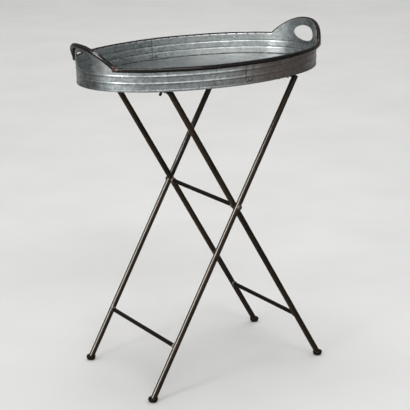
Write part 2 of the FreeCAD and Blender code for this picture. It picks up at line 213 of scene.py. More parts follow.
def galvanised(name, tone=1.0, rough=0.22, pale_patches=False):
    m, nt, b = new_mat(name)
    co = coords(nt)
    b.inputs["Metallic"].default_value = 1.0
    # zinc crystals: large flakes with a different tone each, and smaller ones inside
    warp = noise(nt, co, 60.0, 2.0)
    wv = N(nt, "ShaderNodeVectorMath", operation="MULTIPLY_ADD")
    L(nt, warp.outputs["Color"], wv.inputs[0])
    wv.inputs[1].default_value = (0.010, 0.010, 0.010)
    L(nt, co, wv.inputs[2])
    v1 = N(nt, "ShaderNodeTexVoronoi")
    v1.inputs["Scale"].default_value = 150.0
    L(nt, wv.outputs[0], v1.inputs["Vector"])
    v2 = N(nt, "ShaderNodeTexVoronoi")
    v2.inputs["Scale"].default_value = 260.0
    L(nt, wv.outputs[0], v2.inputs["Vector"])
    sp1 = N(nt, "ShaderNodeSeparateColor")
    L(nt, v1.outputs["Color"], sp1.inputs[0])
    sp2 = N(nt, "ShaderNodeSeparateColor")
    L(nt, v2.outputs["Color"], sp2.inputs[0])
    flake = mathn(nt, "ADD", mathn(nt, "MULTIPLY", sp1.outputs[0], 0.6), mathn(nt, "MULTIPLY", sp2.outputs[1], 0.4))
    base = ramp(nt, flake, [(0.0, (0.36 * tone, 0.415 * tone, 0.42 * tone)), (0.5, (0.58 * tone, 0.635 * tone, 0.64 * tone)), (1.0, (0.83 * tone, 0.865 * tone, 0.865 * tone))])
    # wide clouds of dull and bright zinc
    cloud = noise(nt, co, 11.0, 5.0, 0.6)
    dull = ramp(nt, cloud.outputs["Fac"], [(0.38, 0.0), (0.66, 1.0)])
    c0 = mixc(nt, mathn(nt, "MULTIPLY", dull.outputs["Color"], 0.50), base.outputs["Color"], (0.40 * tone, 0.41 * tone, 0.40 * tone))
    longer = N(nt, "ShaderNodeVectorMath", operation="MULTIPLY")
    L(nt, co, longer.inputs[0])
    longer.inputs[1].default_value = (0.55, 0.55, 1.5)
    blot = noise(nt, longer.outputs[0], 150.0, 4.0, 0.65, 0.3)
    c1 = mixc(nt, 0.62, c0, ramp(nt, blot.outputs["Fac"], [(0.34, 0.50), (0.50, 0.88), (0.62, 1.0)]).outputs["Color"], "MULTIPLY")
    if pale_patches:
        # paler zinc written on the mesh: a painted pool of light on the floor, painted reflections inside the back and
        # beside the left hand-hole, worn top edges, and a paler low strip inside towards the right end
        wa = N(nt, "ShaderNodeAttribute", attribute_name="pale_mix")
        c1 = mixc(nt, mathn(nt, "MULTIPLY", wa.outputs["Fac"], ramp(nt, cloud.outputs["Fac"], [(0.32, 1.0), (0.62, 0.45)]).outputs["Color"]), c1, (0.74, 0.755, 0.745))
    # warm brown handling stains from noise, and the painted brown reflection written on the mesh
    st = noise(nt, co, 6.0, 4.0, 0.6, 0.4)
    stm = ramp(nt, st.outputs["Fac"], [(0.52, 0.0), (0.72, 1.0)])
    sa = N(nt, "ShaderNodeAttribute", attribute_name="painted_brown_reflection")
    sm = mathn(nt, "ADD", mathn(nt, "MULTIPLY", stm.outputs["Color"], 0.22), mathn(nt, "MULTIPLY", sa.outputs["Fac"], 0.66), True)
    c2 = mixc(nt, sm, c1, (0.27, 0.215, 0.205))
    # dirt at edges and joins, painted shade in the bead grooves and on the inside of the ends, and painted shadow at
    # the hand-hole edges, written on the mesh
    at = N(nt, "ShaderNodeAttribute", attribute_name="grime_and_shade")
    g = noise(nt, co, 90.0, 4.0, 0.65)
    gm = mathn(nt, "MULTIPLY", at.outputs["Fac"], ramp(nt, g.outputs["Fac"], [(0.3, 0.35), (0.7, 1.0)]).outputs["Color"], True)
    c3 = mixc(nt, gm, c2, (0.055, 0.045, 0.038))
    L(nt, c3, b.inputs["Base Color"])
    fine = noise(nt, co, 420.0, 3.0, 0.6)
    r0 = mathn(nt, "ADD", mathn(nt, "MULTIPLY", sp1.outputs[1], 0.12), rough)
    r1 = mathn(nt, "ADD", r0, mathn(nt, "MULTIPLY", dull.outputs["Color"], 0.16))
    r2 = mathn(nt, "ADD", r1, mathn(nt, "MULTIPLY", gm, 0.35))
    r3 = mathn(nt, "ADD", r2, mathn(nt, "MULTIPLY", mathn(nt, "SUBTRACT", fine.outputs["Fac"], 0.5), 0.10), True)
    L(nt, r3, b.inputs["Roughness"])
    h = mathn(nt, "ADD", mathn(nt, "MULTIPLY", sp1.outputs[2], 0.5), mathn(nt, "MULTIPLY", fine.outputs["Fac"], 0.25))
    n1 = bump(nt, h, 0.10, 0.0004, None)
    wave = noise(nt, co, 22.0, 2.0, 0.5)
    bump(nt, wave.outputs["Fac"], 0.22, 0.004, b, n1)
    return m


def lacquer(name, dark, warm, rough, pale_mix=0.4, rust=0.0, spec=0.55, tint=(1.0, 1.0, 1.0)):
    """Brushed-on dark lacquer over steel rod: uneven film, rubbed spots and a little dust."""
    m, nt, b = new_mat(name)
    co = coords(nt)
    big = noise(nt, co, 14.0, 4.0, 0.6)
    mid = noise(nt, co, 70.0, 4.0, 0.65)
    fine = noise(nt, co, 520.0, 3.0, 0.6)
    c0 = mixc(nt, ramp(nt, big.outputs["Fac"], [(0.35, 0.0), (0.68, 1.0)]).outputs["Color"], dark, warm)
    rub = ramp(nt, mid.outputs["Fac"], [(0.60, 0.0), (0.74, 1.0)])
    c1 = mixc(nt, mathn(nt, "MULTIPLY", rub.outputs["Color"], pale_mix), c0, tuple(min(1.0, 2.2 * v + 0.012) for v in warm))
    if rust > 0:
        at = N(nt, "ShaderNodeAttribute", attribute_name="grime_and_shade")
        rn = ramp(nt, mid.outputs["Fac"], [(0.35, 0.2), (0.62, 1.0)])
        c1 = mixc(nt, mathn(nt, "MULTIPLY", mathn(nt, "MULTIPLY", at.outputs["Fac"], rn.outputs["Color"]), rust, True), c1, (0.075, 0.034, 0.021))
    L(nt, c1, b.inputs["Base Color"])
    ro = mathn(nt, "ADD", mathn(nt, "MULTIPLY", big.outputs["Fac"], 0.16), rough - 0.08)
    ro2 = mathn(nt, "ADD", ro, mathn(nt, "MULTIPLY", rub.outputs["Color"], 0.14))
    ro3 = mathn(nt, "ADD", ro2, mathn(nt, "MULTIPLY", mathn(nt, "SUBTRACT", fine.outputs["Fac"], 0.5), 0.12), True)
    L(nt, ro3, b.inputs["Roughness"])
    b.inputs["Specular IOR Level"].default_value = spec
    b.inputs["Specular Tint"].default_value = tint + (1.0,)
    n1 = bump(nt, fine.outputs["Fac"], 0.10, 0.0003, None)
    bump(nt, mid.outputs["Fac"], 0.16, 0.0008, b, n1)
    return m


M_ZINC = galvanised("zinc_sheet", pale_patches=True)
M_ZINC_FLOOR = galvanised("zinc_floor", 0.86, 0.32, True)
M_RIM = lacquer("rim_lacquer", (0.0034, 0.0030, 0.0028), (0.0076, 0.0062, 0.0054), 0.13, 0.25, 0.55, 0.27)
M_STAND = lacquer("stand_lacquer", (0.0056, 0.0039, 0.0025), (0.0128, 0.0083, 0.0050), 0.11, 0.30, 0.0, 0.21, (1.0, 0.94, 0.88))
M_WELD = lacquer("weld_lacquer", (0.012, 0.010, 0.009), (0.045, 0.027, 0.019), 0.42, 0.5)
M_RUST = lacquer("corner_weld", (0.022, 0.013, 0.010), (0.060, 0.030, 0.020), 0.46, 0.45, 0.45)
M_FOOT = lacquer("foot_gloss", (0.006, 0.004, 0.0026), (0.014, 0.008, 0.005), 0.17, 0.25, 0.0, 0.22, (1.0, 0.84, 0.70))
M_CLIP = lacquer("clip_black", (0.011, 0.010, 0.010), (0.024, 0.021, 0.019), 0.34, 0.5)
M_RIVET = galvanised("zinc_rivet", 0.30)
M_PIVOT = lacquer("pivot_lacquer", (0.014, 0.012, 0.011), (0.040, 0.031, 0.026), 0.24, 0.6)


# ---------------------------------------------------------------- mesh helpers
def make(name, verts, faces, mat, body, stands_for=(), sharp=35.0, attrs=None):
    me = bpy.data.meshes.new(name)
    me.from_pydata([tuple(c * MM for c in v) for v in verts], [], faces)
    me.validate()
    me.update()
    for p in me.polygons:
        p.use_smooth = True
    me.set_sharp_from_angle(angle=math.radians(sharp))
    for key, vals in (attrs or {}).items():
        a = me.attributes.new(key, "FLOAT", "POINT")
        a.data.foreach_set("value", np.asarray(vals, np.float32))
    ob = bpy.data.objects.new(name, me)
    bpy.context.scene.collection.objects.link(ob)
    me.materials.append(mat)
    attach(ob, body)
    if stands_for:
        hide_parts(*stands_for)
    return ob


def tube(path, radius, sides=28, cap=True, v0=0):
    """Round tube along path (list of points, mm); radius is a number or a function of the index."""
    P = np.array(path, float)
    n = len(P)
    T = np.gradient(P, axis=0)
    T /= np.linalg.norm(T, axis=1)[:, None]
    ref = np.array([1.0, 0, 0]) if abs(T[0][0]) < 0.8 else np.array([0, 0, 1.0])
    u = ref - T[0] * ref.dot(T[0])
    u /= np.linalg.norm(u)
    verts, faces = [], []
    for i in range(n):
        u = u - T[i] * u.dot(T[i])
        u /= np.linalg.norm(u)
        w = np.cross(T[i], u)
        r = radius(i) if callable(radius) else radius
        for k in range(sides):
            a = 2 * math.pi * k / sides
            verts.append(tuple(P[i] + r * (u * math.cos(a) + w * math.sin(a))))
    for i in range(n - 1):
        for k in range(sides):
            a, b = i * sides + k, i * sides + (k + 1) % sides
            faces.append((v0 + a, v0 + b, v0 + b + sides, v0 + a + sides))
    if cap:
        for i, flip in ((0, True), (n - 1, False)):
            ring = [v0 + i * sides + k for k in range(sides)]
            faces.append(tuple(reversed(ring)) if flip else tuple(ring))
    return verts, faces


def lathe(profile, centre, axis, sides=40, v0=0):
    """Solid of revolution: profile is [(radius, along)], closed at both ends on the axis."""
    ax = np.array(axis, float)
    ax /= np.linalg.norm(ax)
    ref = np.array([1.0, 0, 0]) if abs(ax[0]) < 0.8 else np.array([0, 1.0, 0])
    u = ref - ax * ref.dot(ax)
    u /= np.linalg.norm(u)
    w = np.cross(ax, u)
    c = np.array(centre, float)
    verts, faces = [], []
    rows = []
    for (r, h) in profile:
        if r < 1e-6:
            rows.append([len(verts)])
            verts.append(tuple(c + ax * h))
        else:
            rows.append(list(range(len(verts), len(verts) + sides)))
            for k in range(sides):
                a = 2 * math.pi * k / sides
                verts.append(tuple(c + ax * h + r * (u * math.cos(a) + w * math.sin(a))))
    for A, B in zip(rows, rows[1:]):
        for k in range(sides):
            k2 = (k + 1) % sides
            if len(A) == 1:
                faces.append((v0 + A[0], v0 + B[k2], v0 + B[k]))
            elif len(B) == 1:
                faces.append((v0 + A[k], v0 + A[k2], v0 + B[0]))
            else:
                faces.append((v0 + A[k], v0 + A[k2], v0 + B[k2], v0 + B[k]))
    return verts, faces


class Parts:
    """Collects several closed shapes into one mesh."""

    def __init__(self):
        self.v, self.f = [], []

    def add(self, builder, *a, **k):
        v, f = builder(*a, v0=len(self.v), **k)
        self.v += v
        self.f += f


# ------------------------------------------------------------------ tray walls
H_LO, H_HI = HANDLE_SHIFT - HANDLE_HALF, HANDLE_SHIFT + HANDLE_HALF
O_LO, O_HI = HANDLE_SHIFT - HOLE_HALF, HANDLE_SHIFT + HOLE_HALF


RODS = []
RIMS = []


def columns(s_lo, s_hi):
    """Arc lengths of the wall's mesh columns, closer together round the hand hole."""
    cols = {s_lo, s_hi, H_LO, H_HI}
    n = 44
    for i in range(n + 1):
        cols.add(HANDLE_SHIFT - HOLE_HALF * math.cos(math.pi * i / n))
    for sgn in (-1, 1):
        s = HANDLE_SHIFT + sgn * (HOLE_HALF + 0.8)
        while s_lo < s < s_hi:
            if min(abs(s - H_LO), abs(s - H_HI)) > 0.5:
                cols.add(s)
            s += sgn * (0.9 if abs(s - HANDLE_SHIFT) < HOLE_HALF + 8 else 2.0)
    return sorted(c for c in cols if s_lo - 1e-6 <= c <= s_hi + 1e-6)


def dent(phi, z):
    """Slight unevenness of hand-worked sheet, in mm."""
    a = math.radians(phi)
    return 0.20 * math.sin(5 * a + 0.07 * z) + 0.15 * math.sin(11 * a - 0.11 * z + 1.3) + 0.09 * math.sin(23 * a + 0.05 * z + 0.4)


def bead(z):
    for zb in BEADS:
        t = (z - zb) / BEAD_HALF
        if abs(t) < 1:
            return BEAD_OUT * (0.5 + 0.5 * math.cos(math.pi * t)) ** 0.85
    return 0.0


BASE_Z = 708.4


def face_rows(outer):
    """(offset, z, on the bottom fold) from the bottom up to the plain strip above the beads."""
    rows = []
    d = 0.0 if outer else -SHEET
    z = WALL_Z0 + SHEET
    if outer:
        rows += [(-FLANGE, WALL_Z0, 1), (-3.0, WALL_Z0, 1), (HEM_OUT - 0.9, WALL_Z0, 1), (HEM_OUT - 0.35, WALL_Z0 + 0.12, 1), (HEM_OUT - 0.05, WALL_Z0 + 0.5, 1), (HEM_OUT, WALL_Z0 + 1.2, 1),
                 (HEM_OUT, WALL_Z0 + HEM_H - 0.6, 1), (HEM_OUT - 0.1, WALL_Z0 + HEM_H - 0.1, 1), (0.12, WALL_Z0 + HEM_H + 0.35, 1)]
        z = WALL_Z0 + HEM_H + 0.9
    else:
        rows += [(-FLANGE, z, 1), (-3.0, z, 1), (-SHEET - 0.3, z, 1), (d, z + 0.5, 0), (d, z + 1.3, 0), (d, z + 2.1, 0), (d, z + 2.9, 0)]
        z += 3.5
    for zb in BEADS:
        z0 = zb - BEAD_HALF
        for k in range(5):
            rows.append((d, z + (z0 - z) * k / 5.0, 0))
        for k in range(13):
            zz = zb + BEAD_HALF * (-1.0 + k / 6.0)
            rows.append((d + bead(zz), zz, 0))
        z = zb + BEAD_HALF + 0.6
    return rows


def make_wall(name, turn, node):
    d = math.degrees(math.asin(SEAM_X / R3))
    lo, hi = -90.0 + d, 90.0 + d
    s_first, s_last = arc_of_phi(lo), arc_of_phi(hi)
    cols = columns(s_first + 0.1, s_last)
    # close columns along the two joins, for the dirty line of each seam
    cols = sorted([c for c in cols if s_first + 2.2 < c < s_last - 2.2] + [s_first + 0.1, s_first + 1.0, s_first + 1.9, s_last - 1.8, s_last - 0.9, s_last])
    verts, faces, grime_and_shade, painted_brown_reflection, pale_mix = [], [], [], [], []

    def put(s, off, z, g, inside=False, w=0.0):
        phi = phi_of_arc(s)
        x, y, zz = oval(phi, off, z)
        if turn:
            x, y = -x, -y
        verts.append((x, y, zz))
        # painted brown reflection on the outside, growing from the front seam towards the right end
        st = 0.0
        if not inside:
            st = max(0.0, min(1.0, (x + 50.0) / 100.0)) * max(0.0, min(1.0, (55.0 - y) / 150.0))
        grime_and_shade.append(g)
        painted_brown_reflection.append(st)
        pale_mix.append(w)
        return len(verts) - 1

    n_low, n_up = 7, 15
    nc = len(cols)

    def split(s):
        a = abs(s - HANDLE_SHIFT)
        if a <= HOLE_HALF:
            h = HOLE_HALF_H * math.sqrt(max(0.0, 1 - (a / HOLE_HALF) ** 2))
            return HOLE_Z - h, HOLE_Z + h
        t = min(1.0, (a - HOLE_HALF) / (HANDLE_HALF - HOLE_HALF))
        z = HOLE_Z + (714.0 - HOLE_Z) * t
        return z, z

    def top(s):
        return WALL_TOP + 0.1 + handle_line(s)

    def curl(s, z, face):
        """Outward bend of the edge that lies over the rod."""
        k = (handle_line(s + 0.5) - handle_line(s - 0.5))
        dv = (z - RIM_Z - handle_line(s)) / math.sqrt(1 + k * k)
        if dv <= 0:
            return 0.0
        r = BAR_R + RIM_GAP + 0.05 + face
        return r - math.sqrt(max(0.5, r * r - dv * dv))

    def calm(z, s):
        """The sheet is held straight by the rod, the fold and the handle."""
        k = min(1.0, max(0.0, (z - 676.0) / 6.0)) * min(1.0, max(0.0, (top(s) - 2.0 - z) / 8.0))
        return k

    # painted shade on the inside of both ends, strongest round the hand-holes
    def painted_shade_ends(s):
        return 0.40 * max(0.0, min(1.0, (92.0 - abs(s)) / 45.0))

    def painted_reflection_left_hole(s, z):
        """Painted reflection: paler zinc beside the left hand-hole, on the outside."""
        if not turn:
            return 0.0
        return 0.60 * math.exp(-((s - 62.0) / 24.0) ** 2) * max(0.0, min(1.0, (z - 690.0) / 14.0))

    def painted_reflection_back(phi):
        """Painted reflection: two brighter stretches on the inside of the back."""
        x, y, _ = oval(phi, 0.0, 0.0)
        return 0.0 if y < 0 else 0.25 * math.exp(-((x - 112.0) / 28.0) ** 2) + 0.60 * math.exp(-((x - 232.0) / 30.0) ** 2)

    def painted_shade_near_hole(s, z):
        """Painted shade on the near side of the right hand-hole, inside."""
        if turn:
            return 0.0
        return 0.42 * math.exp(-((s + 22.0) / 30.0) ** 2) * max(0.0, min(1.0, (z - 697.0) / 8.0))

    grid = {}
    for side in (0, 1):
        rows = face_rows(side == 0)
        for ci, s in enumerate(cols):
            phi = phi_of_arc(s) + (180 if turn else 0)
            line = []
            for (o, z, fixed) in rows:
                off = o if fixed else o + lean_off(z) + dent(phi, z) * calm(z, s)
                g = 1.0 if (side and (ci < 2 or ci > nc - 3)) else 0.0
                if side:
                    # painted shade along the upper side of each bead groove on the inside
                    for zb in BEADS:
                        g = max(g, 0.80 * max(0.0, 1.0 - abs(z - zb - 0.55 * BEAD_HALF) / (0.62 * BEAD_HALF)))
                if z < WALL_Z0 + HEM_H + 2.0:
                    g = 0.30 if side == 0 else (1.0 if z < FLOOR_Z + SHEET + 2.0 else 0.0)
                w = 0.0
                if side:
                    xi = oval(phi, 0.0, 0.0)[0]
                    # paler zinc low on the inside towards the right end
                    w = 0.85 * max(0.0, min(1.0, xi / 100.0)) * max(0.0, min(1.0, (686.5 - z) / 3.0))
                    g = max(g, painted_shade_ends(s) + painted_shade_near_hole(s, z))
                    w = max(w * (1.0 - 2.5 * painted_shade_ends(s)), painted_reflection_back(phi) if z > FLOOR_Z + SHEET + 2.0 else 0.0)
                else:
                    w = painted_reflection_left_hole(s, z)
                line.append(put(s, off, z, g, side == 1, w))
            zl, zu = split(s)
            zt = top(s)
            t_face = SHEET if side else 0.0
            for k in range(n_low + 1):
                z = BASE_Z + (zl - BASE_Z) * k / n_low
                # painted shadow along the lower edge of the hand-hole; dirty seam ends; painted shade inside towards
                # the ends and near the right hand-hole
                edge = 0.95 if (abs(s - HANDLE_SHIFT) < HOLE_HALF and k >= n_low - 1) else (1.0 if side and (ci < 2 or ci > nc - 3) else (painted_shade_ends(s) * (1.0 - 0.6 * k / n_low) + painted_shade_near_hole(s, z) if side else 0.0))
                line.append(put(s, lean_off(z) - t_face + dent(phi, z) * calm(z, s), z, edge, side == 1, painted_reflection_back(phi) if side else painted_reflection_left_hole(s, z)))
            start = 0 if zu - zl > 1e-4 else 1
            up = [line[-1]] if start else []
            for k in range(start, n_up + 1):
                z = zu + (zt - 0.25 - zu) * k / n_up
                # painted shadow along the upper edge of the hand-hole; painted shade inside near the right hand-hole
                edge = 0.95 if (start == 0 and k <= 1 - side) else (painted_shade_near_hole(s, z) if side else 0.0)
                if side and (ci < 2 or ci > nc - 3):
                    edge = 1.0
                up.append(put(s, lean_off(z) - t_face + curl(s, z, t_face) + dent(phi, z) * calm(z, s), z, edge, side == 1, 1.0 if zt - z < 2.4 else (painted_reflection_back(phi) if side else painted_reflection_left_hole(s, z))))
            # rounded top edge
            up.append(put(s, lean_off(zt) + curl(s, zt, 0.5) - (0.72 if side else 0.28), zt, 0.0, side == 1, 1.0))
            grid[(side, ci)] = (line, up)
    for side in (0, 1):
        for ci in range(nc - 1):
            la, ua = grid[(side, ci)]
            lb, ub = grid[(side, ci + 1)]
            for A, B in ((la, lb), (ua, ub)):
                for k in range(len(A) - 1):
                    q = tuple(dict.fromkeys((A[k], B[k], B[k + 1], A[k + 1])))
                    if len(q) > 2:
                        faces.append(q if side == 0 else tuple(reversed(q)))
    for ci in range(nc - 1):
        o_l, o_u = grid[(0, ci)]
        i_l, i_u = grid[(1, ci)]
        p_l, p_u = grid[(0, ci + 1)]
        j_l, j_u = grid[(1, ci + 1)]
        faces.append((o_u[-1], p_u[-1], j_u[-1], i_u[-1]))
        faces.append((p_l[0], o_l[0], i_l[0], j_l[0]))
        if cols[ci] >= O_LO - 1e-6 and cols[ci + 1] <= O_HI + 1e-6:
            for q in ((o_l[-1], p_l[-1], j_l[-1], i_l[-1]), (p_u[0], o_u[0], i_u[0], j_u[0])):
                q = tuple(dict.fromkeys(q))
                if len(q) > 2:
                    faces.append(q)
    # the two cut ends of the sheet
    for ci, flip in ((0, False), (nc - 1, True)):
        (ol, ou), (il, iu) = grid[(0, ci)], grid[(1, ci)]
        oo, ii = ol + ou[1:], il + iu[1:]
        ko, ki = 0, 0
        while ko < len(oo) - 1 or ki < len(ii) - 1:
            if ki >= len(ii) - 1 or (ko < len(oo) - 1 and ko / (len(oo) - 1) <= ki / (len(ii) - 1)):
                t = (oo[ko], ii[ki], oo[ko + 1])
                ko += 1
            else:
                t = (oo[ko], ii[ki], ii[ki + 1])
                ki += 1
            faces.append(tuple(reversed(t)) if flip else t)
    # the lap over the other half
    zs = [WALL_Z0 + HEM_H + 1.4]
    for zb in BEADS:
        zs += [zb - BEAD_HALF * 1.2] + [zb + BEAD_HALF * (-1.0 + k / 6.0) for k in range(13)]
    zs += [BASE_Z, 711.0, LAP_TOP]
    scol = [s_first - LAP + k * (LAP + 0.2) / 8.0 for k in range(9)] + [s_first + 2.4, s_first + 4.6, s_first + 7.0]
    idx = {}
    for side in (0, 1):
        for i, s in enumerate(scol):
            phi = phi_of_arc(s) + (180 if turn else 0)
            for j, zv in enumerate(zs):
                base = lean_off(zv) + bead(zv) + dent(phi, zv) * calm(zv, s)
                soft = 0.15 * math.sin(j * 1.7) if i == 0 else 0.0
                lift = 0.12 if i == 0 else 0.0
                off = base + lift + (SHEET + 0.08 if side == 0 else 0.08)
                if i >= 9:
                    off = base + (SHEET + 0.08) * (0.66, 0.30, 0.04)[i - 9] if side == 0 else base - 0.4
                idx[(side, i, j)] = put(s + soft, off, zv, 0.55 if i == 0 else (0.15 if i == 1 else 0.0))
    ni, nj = len(scol), len(zs)
    for i in range(ni - 1):
        for j in range(nj - 1):
            faces.append((idx[(0, i, j)], idx[(0, i + 1, j)], idx[(0, i + 1, j + 1)], idx[(0, i, j + 1)]))
            faces.append((idx[(1, i, j)], idx[(1, i, j + 1)], idx[(1, i + 1, j + 1)], idx[(1, i + 1, j)]))
    for j in range(nj - 1):
        faces.append((idx[(0, 0, j)], idx[(0, 0, j + 1)], idx[(1, 0, j + 1)], idx[(1, 0, j)]))
        faces.append((idx[(0, ni - 1, j + 1)], idx[(0, ni - 1, j)], idx[(1, ni - 1, j)], idx[(1, ni - 1, j + 1)]))
    for i in range(ni - 1):
        faces.append((idx[(0, i, nj - 1)], idx[(0, i + 1, nj - 1)], idx[(1, i + 1, nj - 1)], idx[(1, i, nj - 1)]))
        faces.append((idx[(0, i + 1, 0)], idx[(0, i, 0)], idx[(1, i, 0)], idx[(1, i + 1, 0)]))
    return make(name, verts, faces, M_ZINC, "tray", (node,), 38.0, {"grime_and_shade": grime_and_shade, "painted_brown_reflection": painted_brown_reflection, "pale_mix": pale_mix})


make_wall("wall_right_sheet", False, "tray_wall_right")
make_wall("wall_left_sheet", True, "tray_wall_left")


# ------------------------------------------------------------------ tray floor
def make_floor():
    verts, faces, grime_and_shade, pale_mix = [], [], [], []
    n_phi, n_r = 240, 40
    z1 = FLOOR_Z + SHEET

    def sag(x, y):
        return 0.35 * math.sin(x / 61.0 + 0.6) * math.cos(y / 47.0) + 0.22 * math.sin(x / 33.0 - y / 41.0 + 1.1)

    # painted pool of light on the tray floor, towards the back right
    def painted_light_pool(x, y):
        return min(1.0, 0.9 * math.exp(-((x - 110.0) / 120.0) ** 2 - ((y - 60.0) / 80.0) ** 2) + 0.6 * math.exp(-((x - 122.0) / 48.0) ** 2 - ((y - 120.0) / 50.0) ** 2))

    def ring(t, z_of):
        ids = []
        for k in range(n_phi):
            x, y, _ = oval(360.0 * k / n_phi, -SHEET - 0.15, 0)
            x, y = x * t, y * t
            ids.append(len(verts))
            verts.append((x, y, z_of(x, y, t)))
            grime_and_shade.append(max(0.0, min(1.0, (t - 0.979) / 0.009)))
            pale_mix.append(painted_light_pool(x, y))
        return ids

    rows = []
    for t_ring in [(i / n_r) ** 0.8 for i in range(1, n_r)] + [0.9835, 0.9870, 0.9905, 0.9945, 0.9975, 1.0]:
        rows.append(ring(t_ring, lambda x, y, t: z1 + sag(x, y) * min(1.0, (1 - t) * 6.0)))
    c = len(verts)
    verts.append((0, 0, z1 + sag(0, 0)))
    grime_and_shade.append(0.0)
    pale_mix.append(painted_light_pool(0.0, 0.0))
    low = ring(1.0, lambda x, y, t: FLOOR_Z)
    inner_low = ring(0.5, lambda x, y, t: FLOOR_Z + sag(x, y) * 0.6)
    cl = len(verts)
    verts.append((0, 0, FLOOR_Z + sag(0, 0)))
    grime_and_shade.append(0.0)
    pale_mix.append(0.0)
    for k in range(n_phi):
        k2 = (k + 1) % n_phi
        faces.append((c, rows[0][k], rows[0][k2]))
        for A, B in zip(rows, rows[1:]):
            faces.append((A[k], B[k], B[k2], A[k2]))
        faces.append((rows[-1][k], low[k], low[k2], rows[-1][k2]))
        faces.append((low[k], inner_low[k], inner_low[k2], low[k2]))
        faces.append((inner_low[k], cl, inner_low[k2]))
    return make("floor_sheet", verts, faces, M_ZINC_FLOOR, "tray", ("tray_floor",), 38.0, {"grime_and_shade": grime_and_shade, "painted_brown_reflection": [0.0] * len(verts), "pale_mix": pale_mix})


make_floor()

# ------------------------------------------------------------------------- rim
RIM_OFF = lean_off(RIM_Z) + BAR_R + RIM_GAP
PHI_LO, PHI_HI = phi_of_arc(H_LO), phi_of_arc(H_HI)
CUT = math.degrees(2.2 / R2)


def end_grime(n, sides, reach):
    g = []
    for i in range(n + 1):
        g += [max(0.0, 1.0 - min(i, n - i) / reach)] * sides
    return g


for nm, p0, p1 in (("rim_back", PHI_HI + CUT, 180 + PHI_LO - CUT), ("rim_front", 180 + PHI_HI + CUT, 360 + PHI_LO - CUT)):
    n = 260
    path = [oval(p0 + (p1 - p0) * i / n, RIM_OFF, RIM_Z + 0.2 * math.sin(i * 0.11) * min(1, i / 10, (n - i) / 10)) for i in range(n + 1)]
    v, f = tube(path, lambda i: BAR_R + 0.05 * math.sin(i * 0.7) + 0.04 * math.sin(i * 0.23 + 1), 28)
    RIMS.append(make(nm + "_rod", v, f, M_RIM, "tray", (nm,), 40, {"grime_and_shade": end_grime(n, 28, 5.0)}))


def handle_point(s, off, dz=0.0):
    z = RIM_Z + handle_line(s) + dz
    return oval(phi_of_arc(s), lean_off(z) + off, z)


for nm, sg in (("rim_handle_right", 1), ("rim_handle_left", -1)):
    n = 130
    path = []
    for i in range(n + 1):
        x, y, z = handle_point(HANDLE_SHIFT + (HANDLE_HALF - 2.0) * (-1 + 2 * i / n), BAR_R + RIM_GAP)
        path.append((sg * x, sg * y, z))
    v, f = tube(path, lambda i: BAR_R + 0.05 * math.sin(i * 0.9) + 0.04 * math.sin(i * 0.31 + 1), 28)
    RIMS.append(make(nm + "_rod", v, f, M_RIM, "tray", (nm,), 40, {"grime_and_shade": end_grime(n, 28, 5.0)}))


def lump(centre, axes, sizes, rng, rough=0.14, n_u=18, n_v=12, v0=0):
    """Blob of weld metal: an uneven ellipsoid on three given axes."""
    A = [np.array(a, float) / np.linalg.norm(a) for a in axes]
    ph = [rng.uniform(0, 6.28) for _ in range(6)]
    verts, rows = [], []
    for j in range(n_v + 1):
        th = math.pi * j / n_v
        ring = []
        for i in range(n_u if 0 < j < n_v else 1):
            la = 2 * math.pi * i / n_u
            d = (math.sin(th) * math.cos(la), math.sin(th) * math.sin(la), math.cos(th))
            k = 1 + rough * (math.sin(2 * la + ph[0]) * math.sin(th) + 0.6 * math.sin(3 * th + ph[1]) + 0.5 * math.sin(4 * la + ph[2]) * math.sin(th) ** 2 * math.cos(2 * th + ph[3]))
            p = np.array(centre, float) + sum(A[q] * (d[q] * sizes[q] * k) for q in range(3))
            ring.append(v0 + len(verts))
            verts.append(tuple(p))
        rows.append(ring)
    faces = []
    for A_, B_ in zip(rows, rows[1:]):
        for i in range(n_u):
            i2 = (i + 1) % n_u
            if len(A_) == 1:
                faces.append((A_[0], B_[i], B_[i2]))
            elif len(B_) == 1:
                faces.append((A_[i], B_[0], A_[i2]))
            else:
                faces.append((A_[i], B_[i], B_[i2], A_[i2]))
    return verts, faces


rng = random.Random(7)
# weld lumps where the level rim meets the handle rods
P = Parts()
for base, sgn in ((PHI_HI, 1), (180 + PHI_LO, -1), (180 + PHI_HI, 1), (360 + PHI_LO, -1)):
    a = math.radians(base)
    nrm, tan = (math.cos(a), math.sin(a), 0), (-math.sin(a), math.cos(a), 0)
    for k in range(3):
        off = RIM_OFF + rng.uniform(-0.4, 0.4)
        dphi = math.degrees((k - 1) * 2.6 / R2)
        P.add(lump, oval(base + dphi, off, RIM_Z + (0.5 if k == 1 else 0.0)), (tan, nrm, (0, 0, 1)), (4.4, BAR_R + 0.30, BAR_R + 0.15), rng, 0.04)
make("corner_weld_lumps", P.v, P.f, M_RUST, "tray", ("rim_corner_welds",), 50, {"grime_and_shade": [1.0] * len(P.v)})

# short tack welds that hold the rod to the edge of the sheet
P = Parts()


